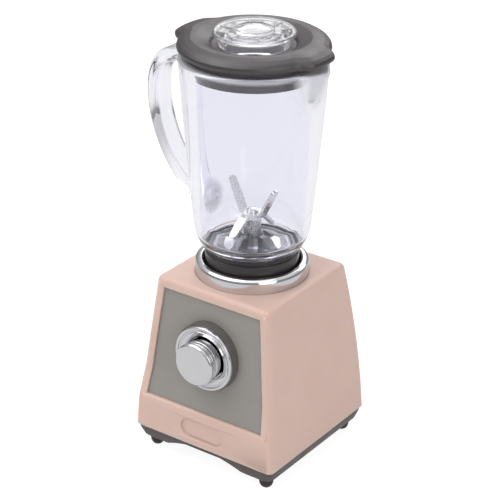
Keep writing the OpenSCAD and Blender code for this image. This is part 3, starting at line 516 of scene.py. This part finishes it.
def jar_profile():
    """Outside up, over the rim and down the inside, as (radius, height)."""
    out = [(SKIRT_IN_R, 0.12), (10.58, 0.0), (10.75, 0.0), (10.93, 0.06), (11.06, 0.28)]
    out += [(jar_out(h), h) for h in np.linspace(0.6, FOOT_CURVE_H, 22)]
    out += [(jar_out(h), h) for h in np.linspace(7.8, JAR_H - RIM_R, 44)]
    for a in np.linspace(12, 84, 7):
        a = math.radians(a)
        r, h = jar_out(JAR_H) - RIM_R * (1 - math.cos(a)), JAR_H - RIM_R * (1 - math.sin(a))
        out.append((r, h))
    out += [(r, JAR_H) for r in (14.8, 14.2, 13.6, 13.1)]
    for a in np.linspace(90, 170, 7):
        a = math.radians(a)
        r = jar_in(JAR_H) + RIM_IN_R + RIM_IN_R * math.cos(a)
        out.append((r, JAR_H - RIM_IN_R + RIM_IN_R * math.sin(a)))
    out += [(jar_in(h), h) for h in np.linspace(JAR_H - 0.8, 4.2, 46)]
    for a in np.linspace(0, 90, 9)[1:]:
        a = math.radians(a)
        out.append((jar_in(4) - 1.1 * (1 - math.cos(a)), 3.9 - 1.75 * math.sin(a)))
    out += [(LEDGE_R + 0.06, 2.12), (LEDGE_R, 2.03), (LEDGE_R, 1.58), (LEDGE_R + 0.08, 1.5)]
    out += [(SKIRT_IN_R - 0.08, 1.5), (SKIRT_IN_R, 1.42)]
    return out


def jar_ring(r, h):
    ring = []
    # the groove inside the spout is a little shallower than the spout
    groove = 1.0 if r > jar_out(h) - 1.5 else SPOUT_GROOVE
    for k in range(ROUND_JAR):
        a = 2 * math.pi * k / ROUND_JAR
        q = r + SPOUT_OUT * groove * spout_at(h, a)
        ring.append((q * math.cos(a), q * math.sin(a), JAR_Z + h))
    return ring


def catmull(p, i, t):
    """Point at the share t of the curve from p[i] to p[i + 1]."""
    a, b, c, d = (np.array(p[min(max(k, 0), len(p) - 1)], float) for k in range(i - 1, i + 3))
    square, cube = 2 * a - 5 * b + 4 * c - d, 3 * b - a - 3 * c + d
    return 0.5 * (2 * b + (c - a) * t + square * t * t + cube * t**3)


# the handle's middle line from its top to its lower root: share of the reach, share of the height
HANDLE_SHARES = [
    (0, 1), (0.46, 0.985), (0.83, 0.92), (1, 0.76), (0.97, 0.53),
    (0.78, 0.31), (0.48, 0.13), (0.12, 0.015), (-0.02, 0),
]
HANDLE_STEPS = 10
HANDLE_REACH = 26.8
HANDLE_ROOT_H = 8.8
HANDLE_TOP_GAP = 2.7
HANDLE_T = 3.1
HANDLE_W = 6.0
HANDLE_CORNER = HANDLE_T * 0.40


def handle_rings():
    root_z, top_z = JAR_Z + HANDLE_ROOT_H, RIM_Z - HANDLE_TOP_GAP
    root_r, reach = JAR_LOW_R - 0.3, HANDLE_REACH - HANDLE_T / 2
    mid = [(-mix(root_r, reach, s), mix(root_z, top_z, t)) for s, t in HANDLE_SHARES]
    shares = np.arange(0, 1, 1 / HANDLE_STEPS)
    path = [catmull(mid, i, t) for i in range(len(mid) - 1) for t in shares]
    path.append(np.array(mid[-1], float))
    last = len(path) - 1
    rings = []
    for k in range(last + 1):
        a, b = path[max(0, k - 1)], path[min(last, k + 1)]
        along = (b - a) / np.linalg.norm(b - a)
        across = np.array([-along[1], along[0]])
        # thicker and wider towards both roots
        flare = abs(2 * k / last - 1) ** 6
        t = HANDLE_T * (1 + 0.25 * flare)
        w = HANDLE_W * (1 + 0.15 * flare)
        corners = [(w / 2, -t / 2), (w / 2, t / 2), (-w / 2, t / 2), (-w / 2, -t / 2)]
        flat = rounded([(*corner, HANDLE_CORNER) for corner in corners], steps=7)
        ring = []
        for x, y in flat:
            q = path[k] + across * y
            ring.append((q[0], x, q[1]))
        rings.append(ring)
    return rings


jar = loft("jar_glass", [jar_ring(r, h) for r, h in jar_profile()], loop=True)
handle = loft("handle_tool", handle_rings())
unite(jar, [handle])
smooth(jar, SHARP_JAR)
weigh_normals(jar)
paint(jar, jar_look)
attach(jar, "jar")
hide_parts("jar")

# ------------------------------------------------------------------ collar under the jar

COLLAR_R = 10.4
COLLAR_GROOVE_R = 10.05
COLLAR_LIP_R = 9.6
COLLAR_IN_R = 8.6
COLLAR_SKIRT_R = 8.8
COLLAR_LIP_Z = 50.7
COLLAR_REST_Z = 50.0
WEB_TOP_Z = 46.3
WEB_LOW_Z = 44.9
BUSH_LOW_Z = 44.3
BUSH_R = 1.88
TUBE_R = 3.08

collar = lathe(
    "collar_ring_black",
    rounded([
        (COLLAR_SKIRT_R, SOCKET_Z, 0.15), (COLLAR_R, SOCKET_Z, 0.4), (COLLAR_R, 48.2, 0.25),
        (COLLAR_GROOVE_R, 48.45, 0.1), (COLLAR_GROOVE_R, 48.65, 0.1), (COLLAR_R, 48.85, 0.2),
        (COLLAR_R, COLLAR_LIP_Z, 0.15), (COLLAR_LIP_R, COLLAR_LIP_Z, 0.1),
        (COLLAR_LIP_R, COLLAR_REST_Z), (COLLAR_IN_R, COLLAR_REST_Z), (COLLAR_IN_R, WEB_TOP_Z, 0.3),
        (TUBE_R, WEB_TOP_Z, 0.3), (TUBE_R, COLLAR_REST_Z), (BUSH_R, COLLAR_REST_Z),
        (BUSH_R, BUSH_LOW_Z), (TUBE_R, BUSH_LOW_Z, 0.2), (TUBE_R + 0.2, WEB_LOW_Z, 0.2),
        (COLLAR_SKIRT_R, WEB_LOW_Z, 0.3),
    ]),
    upright, closed=True,
)
paint(collar, collar_look)
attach(collar, "jar")
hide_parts("jar_collar")

# ------------------------------------------------------------------ chrome pieces

RING_BORE_R = 10.75
RING_SPIGOT_R = 11.6
RING_R = 12.6
RING_SEAT = 0.25
RING_LOW = 0.9
RING_H = 3.3

ring = lathe(
    "chrome_collar",
    rounded([
        (RING_BORE_R, SOCKET_Z + RING_LOW, 0.1), (RING_SPIGOT_R, SOCKET_Z + RING_LOW, 0.1),
        (RING_SPIGOT_R, TOP_Z - RING_SEAT), (RING_R, TOP_Z - RING_SEAT, 0.08),
        (RING_R, TOP_Z + 2.4, 0.2), (12.42, TOP_Z + 2.88, 0.3), (11.9, TOP_Z + 3.24, 0.4),
        (11.2, TOP_Z + RING_H, 0.35), (RING_BORE_R, TOP_Z + 2.95, 0.3),
    ]),
    upright, segments=ROUND_COLLAR, closed=True, angle=SHARP_TURNED,
)
paint(ring, chrome)
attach(ring, "base")
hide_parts("collar_ring")

BEZEL_R = 7.65
BEZEL_BORE_R = 5.05
BOSS_Y = 17.35
BEZEL_T = 0.95
BEZEL_Y = BOSS_Y + BEZEL_T
SPIGOT_R = 5.55
SPIGOT_END = 12.8

bezel = lathe(
    "bezel_chrome",
    rounded([
        (BEZEL_BORE_R, SPIGOT_END), (SPIGOT_R, SPIGOT_END), (SPIGOT_R, BOSS_Y),
        (BEZEL_R - 0.1, BOSS_Y, 0.05), (BEZEL_R, BOSS_Y + 0.3, 0.2),
        (BEZEL_R - 0.15, BEZEL_Y - 0.1, 0.3), (BEZEL_R - 0.75, BEZEL_Y, 0.3),
        (BEZEL_R - 0.95, BEZEL_Y - 0.32, 0.1), (BEZEL_R - 1.2, BEZEL_Y - 0.34, 0.1),
        (BEZEL_R - 1.35, BEZEL_Y - 0.2, 0.1), (5.45, BEZEL_Y - 0.48, 0.25),
        (BEZEL_BORE_R, BEZEL_Y - 0.85, 0.2),
    ]),
    forward, segments=ROUND_FINE, closed=True, angle=SHARP_TURNED,
)
paint(bezel, chrome)
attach(bezel, "base")
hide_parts("button_bezel")

BUTTON_OUT = 3.4
BUTTON_R = 4.95
SHANK_R = 4.65
FLANGE_R = 5.5
STEM_R = 1.4
STEM_END = 9.35
FACE = BEZEL_Y + BUTTON_OUT

button = lathe(
    "button_chrome",
    rounded([
        (0, FACE - 0.1), (3.95, FACE - 0.06, 0.4), (4.25, FACE, 0.15), (4.6, FACE, 0.3),
        (BUTTON_R, FACE - 0.35, 0.3), (BUTTON_R, FACE - 0.9, 0.15), (4.5, FACE - 1.02, 0.06),
        (4.5, FACE - 1.3, 0.06), (4.72, FACE - 1.42, 0.1), (4.72, FACE - 2.1, 0.1),
        (4.55, FACE - 2.2, 0.06), (4.55, FACE - 2.42, 0.06), (SHANK_R, FACE - 2.5, 0.06),
        (SHANK_R, SPIGOT_END - 0.05), (FLANGE_R, SPIGOT_END - 0.05, 0.05),
        (FLANGE_R, SPIGOT_END - 0.95, 0.05), (STEM_R, SPIGOT_END - 0.95),
        (STEM_R, STEM_END, 0.2), (0, STEM_END),
    ], closed=False),
    forward, segments=ROUND_FINE, angle=SHARP_TURNED,
)
paint(button, chrome)
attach(button, "button")
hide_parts("button")

# ------------------------------------------------------------------ lid

LID_R = 16.3
HOLE_R = 7.45
PLUG_R = 12.1
PLUG_DEEP = 3.7
EAR_BACK = 2.2
EAR_FRONT = 1.9
EAR_HALF = 24
EAR_FADE = 14


def ear_out(a):
    """Reach of the lid's ears at the turn a: one over the spout, one over the handle."""
    turn = abs(math.degrees(math.atan2(math.sin(a), math.cos(a))))
    back = abs(turn - 180)
    front_share = smooth_step((EAR_HALF - turn) / EAR_FADE)
    back_share = smooth_step((EAR_HALF - back) / EAR_FADE)
    return EAR_FRONT * front_share + EAR_BACK * back_share


def lid_ring(r, h, share):
    ring = []
    for k in range(ROUND_JAR):
        a = 2 * math.pi * k / ROUND_JAR
        q = r + share * ear_out(a)
        ring.append((q * math.cos(a), q * math.sin(a), LID_Z + h))
    return ring


def lid_shares():
    """Profile of the lid as (radius, height, share of the ears), with rounded corners."""
    r, hole, plug = LID_R, HOLE_R, PLUG_R
    line = [
        # rolled edge, from below to the top
        (r - 1.6, 0, 0), (r - 1.4, 0.94, 0.2), (r - 0.75, 1.1, 0.2), (r - 0.15, 1.45, 0.4),
        (r, 2.0, 0.5), (r - 0.15, 2.55, 0.5), (r - 0.6, 3.1, 0.6), (r - 1.6, 3.7, 0.8),
        (r - 2.9, 4.06, 0.8),
        # dished top and the bowl round the hole
        (hole + 4.8, 4.02, 0.8), (hole + 3.2, 3.47, 1.0), (hole + 2, 3.02, 0.6),
        (hole + 1.7, 2.75, 0.15), (hole + 1.4, 2.35, 0.15), (hole + 0.2, 2.3, 0.12),
        (hole, 2.1, 0.1), (hole, 1.0, 0.1), (hole + 1.4, 1.0, 0.3), (hole + 2.4, 1.9, 0.3),
        # plug that drops into the jar
        (plug - 1.4, 1.9, 0.3), (plug - 1.1, -PLUG_DEEP, 0.1), (plug - 0.1, -PLUG_DEEP, 0.15),
        (plug, -PLUG_DEEP + 0.2, 0.1), (plug, 0, 0.1),
    ]

    def share(x, y):
        if y < 1.2:
            return np.interp(x, [r - 1.6, r - 1.4, r - 0.75, r], [0, 0.3, 0.95, 1])
        if y < 2.5 and x > r - 1:
            return 1.0
        at = [hole + 4.8, r - 2.9, r - 1.6, r - 0.6, r - 0.15]
        return np.interp(x, at, [0, 0.35, 0.7, 0.9, 1])

    return [(x, y, float(share(x, y))) for x, y in rounded(line, steps=5)]


lid = loft("lid_dark", [lid_ring(*point) for point in lid_shares()], loop=True, angle=SHARP_LID)
paint(lid, lid_look)
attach(lid, "lid")
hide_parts("lid")

# ------------------------------------------------------------------ cap

CAP_R = 8.9
CAP_NECK_R = 7.75
CAP_PLUG_R = 7.2
CAP_NECK_Z = CAP_Z - 2.0
CAP_END_Z = CAP_Z - 5.0
KNOB_R = 4.2
RIBS = 6
RIB_TURN = 15

cap = lathe(
    "cap_clear",
    rounded([
        (0, CAP_Z + 1.6), (KNOB_R * 0.55, CAP_Z + 1.58, 1.5), (KNOB_R - 0.2, CAP_Z + 1.5, 0.4),
        (KNOB_R, CAP_Z + 0.55, 0.35), (KNOB_R + 1.4, CAP_Z + 0.55, 0.5),
        (CAP_R - 0.9, CAP_Z + 0.95, 0.3), (CAP_R - 0.1, CAP_Z + 1.0, 0.3),
        (CAP_R, CAP_Z + 0.3, 0.25), (CAP_R - 0.5, CAP_Z, 0.2), (CAP_NECK_R, CAP_Z, 0.3),
        (CAP_NECK_R, CAP_NECK_Z, 0.12), (CAP_PLUG_R, CAP_NECK_Z, 0.05),
        (CAP_PLUG_R, CAP_Z - 4.65, 0.2), (CAP_PLUG_R - 0.4, CAP_END_Z, 0.15),
        (CAP_PLUG_R - 1.0, CAP_END_Z, 0.1), (CAP_PLUG_R - 1.2, CAP_Z - 0.2, 0.4),
        (0, CAP_Z - 0.2),
    ], closed=False),
    upright, segments=ROUND_FINE, angle=SHARP_TURNED,
)


def cap_rib(turn):
    """Raised radial rib on the cap's flange, as three sections from the knob outwards."""
    sections = []
    c, d = math.cos(turn), math.sin(turn)
    for x, half, top in (
        (KNOB_R - 0.1, 0.22, 0.95), (KNOB_R + 1.2, 0.2, 0.85), (CAP_R - 1.3, 0.16, 1.02),
    ):
        section = []
        for s, h in ((-1, 0.45), (-0.55, top), (0.55, top), (1, 0.45)):
            y = s * half
            section.append((x * c - y * d, x * d + y * c, CAP_Z + h))
        sections.append(section)
    return sections


unite(cap, [
    loft(f"rib_tool_{k}", cap_rib(math.radians(360 // RIBS * k + RIB_TURN)), angle=SHARP_RIB)
    for k in range(RIBS)
])
smooth(cap, SHARP_CAP)
paint(cap, cap_look)
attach(cap, "cap")
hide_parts("cap")

# ------------------------------------------------------------------ housing

BODY_W = 37.7
TOP_W = 29.9
SKIRT_H = 7.2
CREASE_H = 15.0
CREASE_Y = 17.05
PANEL_LOW = 8.7
PANEL_HIGH = BODY_H - 1.9
PANEL_BORDER = 1.25
BORDER_MORE = 1.1
BORDER_MORE_TOP = 0.4
BORDER_DEEP = 0.8
# what is joined on lies this far inside the housing's front
BORDER_IN = 0.004


def side_x(h):
    """Half width of the housing at the height h over its lower edge."""
    return TOP_W / 2 + (BODY_W - TOP_W) / 2 * (1 - (h / BODY_H) ** 1.1)


def front_y(h):
    """Reach of the front: an upright skirt, then back to the crease, then a steeper rise."""
    if h < CREASE_H:
        return mix(BODY_W / 2, CREASE_Y, max(0.0, h - SKIRT_H) / (CREASE_H - SKIRT_H))
    return mix(CREASE_Y, TOP_W / 2, (h - CREASE_H) / (BODY_H - CREASE_H))


def border_side(s):
    """Strip that widens the housing's border beside the panel, flush with the border."""
    rings = []
    for h in (PANEL_LOW - 0.3, 11.1, 14.5, 15.5, 19.62, 23.74, 27.86, 31.98, PANEL_HIGH + 0.2):
        near = side_x(h) - PANEL_BORDER - BORDER_MORE
        far, face = side_x(h) - PANEL_BORDER + 0.4, -front_y(h) + BORDER_IN
        back = face + BORDER_DEEP
        line = rounded([(near, back), (near, face, 0.22), (far, face), (far, back)], steps=4)
        rings.append([(s * x, y, BODY_Z + h) for x, y in line])
    return rings


def border_top():
    """Strip that widens the border over the panel, as its two end sections."""
    x = side_x(PANEL_HIGH) - PANEL_BORDER + 0.3
    top, low = PANEL_HIGH + 0.3, PANEL_HIGH - BORDER_MORE_TOP
    line = [(top, BORDER_DEEP), (top, 0), (low + 0.12, 0), (low, 0.12), (low, BORDER_DEEP)]
    return [
        [(s * x, -front_y(h) + BORDER_IN + deep, BODY_Z + h) for h, deep in line] for s in (-1, 1)
    ]


# the housing is a copy of the CAD mesh with the wider border joined on
cad_shell = nodes["body_shell"]
mesh = cad_shell.data.copy()
mesh.transform(cad_shell.matrix_world)
housing = bpy.data.objects.new("housing_pink", mesh)
scene.collection.objects.link(housing)
unite(housing, [
    loft("border_left", border_side(-1)),
    loft("border_right", border_side(1)),
    loft("border_top", border_top()),
])
smooth(housing, SHARP_CAD)
weigh_normals(housing)
paint(housing, pink)
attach(housing, "base")
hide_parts("body_shell")

# ------------------------------------------------------------------ CAD nodes that show as they are

# body_shell doesn't show, since the housing replaces it, but every CAD node has a look
LOOKS = {
    pink: ["body_shell"],
    panel: ["front_panel"],
    plate_look: ["base_plate", "battery_door"],
    feet_look: ["foot_front_left", "foot_front_right", "foot_back_left", "foot_back_right"],
    steel_look: [
        "door_screw", "base_screws", "bracket_screws", "board_screws", "motor_shaft", "blade_shaft",
    ],
    cell_look: ["cell_left", "cell_middle", "cell_right", "motor"],
    brass_look: ["contact_plus", "contact_minus", "switch_leaf", "switch_rivet", "shaft_bush"],
    natural_look: ["motor_bracket"],
    board_look: ["switch_board"],
    dog_look: ["drive_dog", "driven_dog"],
    seal_look: ["jar_gasket"],
    silver: ["blade_post"],
    blade_look: ["lower_blades", "upper_blades", "blade_nut"],
    seat_look: ["blade_seat"],
}
for look, names in LOOKS.items():
    for name in names:
        paint(nodes[name], look)
        smooth(nodes[name], SHARP_CAD)

smooth(nodes["front_panel"], SHARP_PANEL)
BEVELS = {"lower_blades": 0.12, "upper_blades": 0.12, "blade_seat": 0.15, "base_plate": 0.12}
for name, width in BEVELS.items():
    bevel(nodes[name], width)

# ------------------------------------------------------------------ floor, light and camera


def show_as(tree, shader, surface, share, seen, mirrored, through):
    """The view, mirrors and glass see levels of their own. All else sees the lit shader.

    share is how much of the level they see: the rest is the lit shader, with its shadow.
    """
    path = tree.nodes.new("ShaderNodeLightPath")
    camera_ray, glossy_ray, glass_ray = (
        path.outputs[f"Is {kind} Ray"] for kind in ("Camera", "Glossy", "Transmission")
    )
    level = span(tree, glass_ray, mirrored, through)
    level = span(tree, camera_ray, level, seen)
    part = tree.nodes.new("ShaderNodeMath")
    part.operation = "MULTIPLY"
    part.inputs[1].default_value = share
    tree.links.new(larger(tree, camera_ray, glossy_ray, glass_ray), part.inputs[0])
    white = tree.nodes.new("ShaderNodeEmission")
    tree.links.new(level, white.inputs["Strength"])
    blend = tree.nodes.new("ShaderNodeMixShader")
    tree.links.new(part.outputs[0], blend.inputs["Fac"])
    tree.links.new(shader.outputs[0], blend.inputs[1])
    tree.links.new(white.outputs[0], blend.inputs[2])
    tree.links.new(blend.outputs[0], surface)


FLOOR_HALF = 3000
floor = new_object(
    "floor",
    [(x * FLOOR_HALF, y * FLOOR_HALF, 0) for x, y in ((-1, -1), (1, -1), (1, 1), (-1, 1))],
    [(0, 1, 2, 3)],
)
floor_look = Look("floor", (0.9, 0.9, 0.9), 0.9, Specular_IOR_Level=0.1)
tree = floor_look.tree
# bright sheet under the toy, darker room beyond it: the distances here are metres
away = tree.nodes.new("ShaderNodeVectorMath")
away.operation = "LENGTH"
tree.links.new(floor_look.coord.outputs["Object"], away.inputs[0])
distance = away.outputs["Value"]
show_as(
    tree, floor_look.shader, tree.nodes["Material Output"].inputs["Surface"],
    share=0.72,
    seen=1.27,
    mirrored=span(tree, distance, 0.8, 0.34, 0.12, 0.5, "SMOOTHSTEP"),
    through=span(tree, distance, 1.0, 0.2, 0.3, 0.9, "SMOOTHSTEP"),
)
paint(floor, floor_look)

world = bpy.data.worlds.new("studio")
scene.world = world
world.use_nodes = True
tree = world.node_tree
background = tree.nodes["Background"]
background.inputs["Color"].default_value = (0.95, 0.96, 1.0, 1)
background.inputs["Strength"].default_value = 0.4
place = tree.nodes.new("ShaderNodeTexCoord")
axes = tree.nodes.new("ShaderNodeSeparateXYZ")
tree.links.new(place.outputs["Generated"], axes.inputs[0])
height = axes.outputs["Z"]
show_as(
    tree, background, tree.nodes["World Output"].inputs["Surface"],
    share=1.0,
    seen=1.0,
    mirrored=span(tree, height, 0.3, 0.85, 0.1, 0.8, "SMOOTHSTEP"),
    through=span(tree, height, 0.6, 1.0, 0.12, 0.55, "SMOOTHSTEP"),
)

LAMP_AIM = (0, 0, 45)


def lamp(name, place, power, size):
    """Area lamp aimed at the middle of the toy."""
    data = bpy.data.lights.new(name, "AREA")
    data.energy = power
    data.shape = "ELLIPSE"
    data.size, data.size_y = size[0] * MM, size[1] * MM
    ob = bpy.data.objects.new(name, data)
    ob.location = Vector(place) * MM
    ob.rotation_euler = (Vector(place) - Vector(LAMP_AIM)).to_track_quat("Z", "Y").to_euler()
    scene.collection.objects.link(ob)


lamp("key", (-220, -250, 480), 1.35, (600, 600))
lamp("top", (-100, -60, 600), 1.2, (820, 820))
lamp("fill", (420, -180, 220), 0.5, (320, 320))
lamp("back", (-90, 380, 330), 0.6, (460, 300))

# the photograph's view: angles in degrees, the rest in pixels of a picture 500 wide and high
AZIMUTH, ELEVATION, ROLL = 35.5, 26.1, 0.5
PICTURE = 500
FOCAL = 1815.0
# pixel that shows the point on the jar's axis at BODY_Z, and the length of a pixel there
POINT_X, POINT_Y = 250.7, 412.9
PIXEL = 0.23 * MM
SENSOR = 36

az, el, roll = (math.radians(v) for v in (AZIMUTH, ELEVATION, ROLL))
back = Vector((math.sin(az) * math.cos(el), -math.cos(az) * math.cos(el), math.sin(el)))
right = Vector((math.cos(az), math.sin(az), 0))
up = back.cross(right)
right, up = (
    math.cos(roll) * right + math.sin(roll) * up, -math.sin(roll) * right + math.cos(roll) * up,
)
cam_data = bpy.data.cameras.new("camera")
cam_data.sensor_width = SENSOR
cam_data.lens = FOCAL / PICTURE * SENSOR
cam_data.clip_start, cam_data.clip_end = 0.01, 20
camera = bpy.data.objects.new("camera", cam_data)
scene.collection.objects.link(camera)
middle = PICTURE / 2
offset = -(POINT_X - middle) * right - (middle - POINT_Y) * up + FOCAL * back
place = offset * PIXEL + Vector((0, 0, BODY_Z * MM))
turn = np.array([right, up, back]).T
camera.matrix_world = Matrix([
    (*turn[0], place.x), (*turn[1], place.y), (*turn[2], place.z), (0, 0, 0, 1)
])
scene.camera = camera
scene.view_settings.view_transform = "Standard"
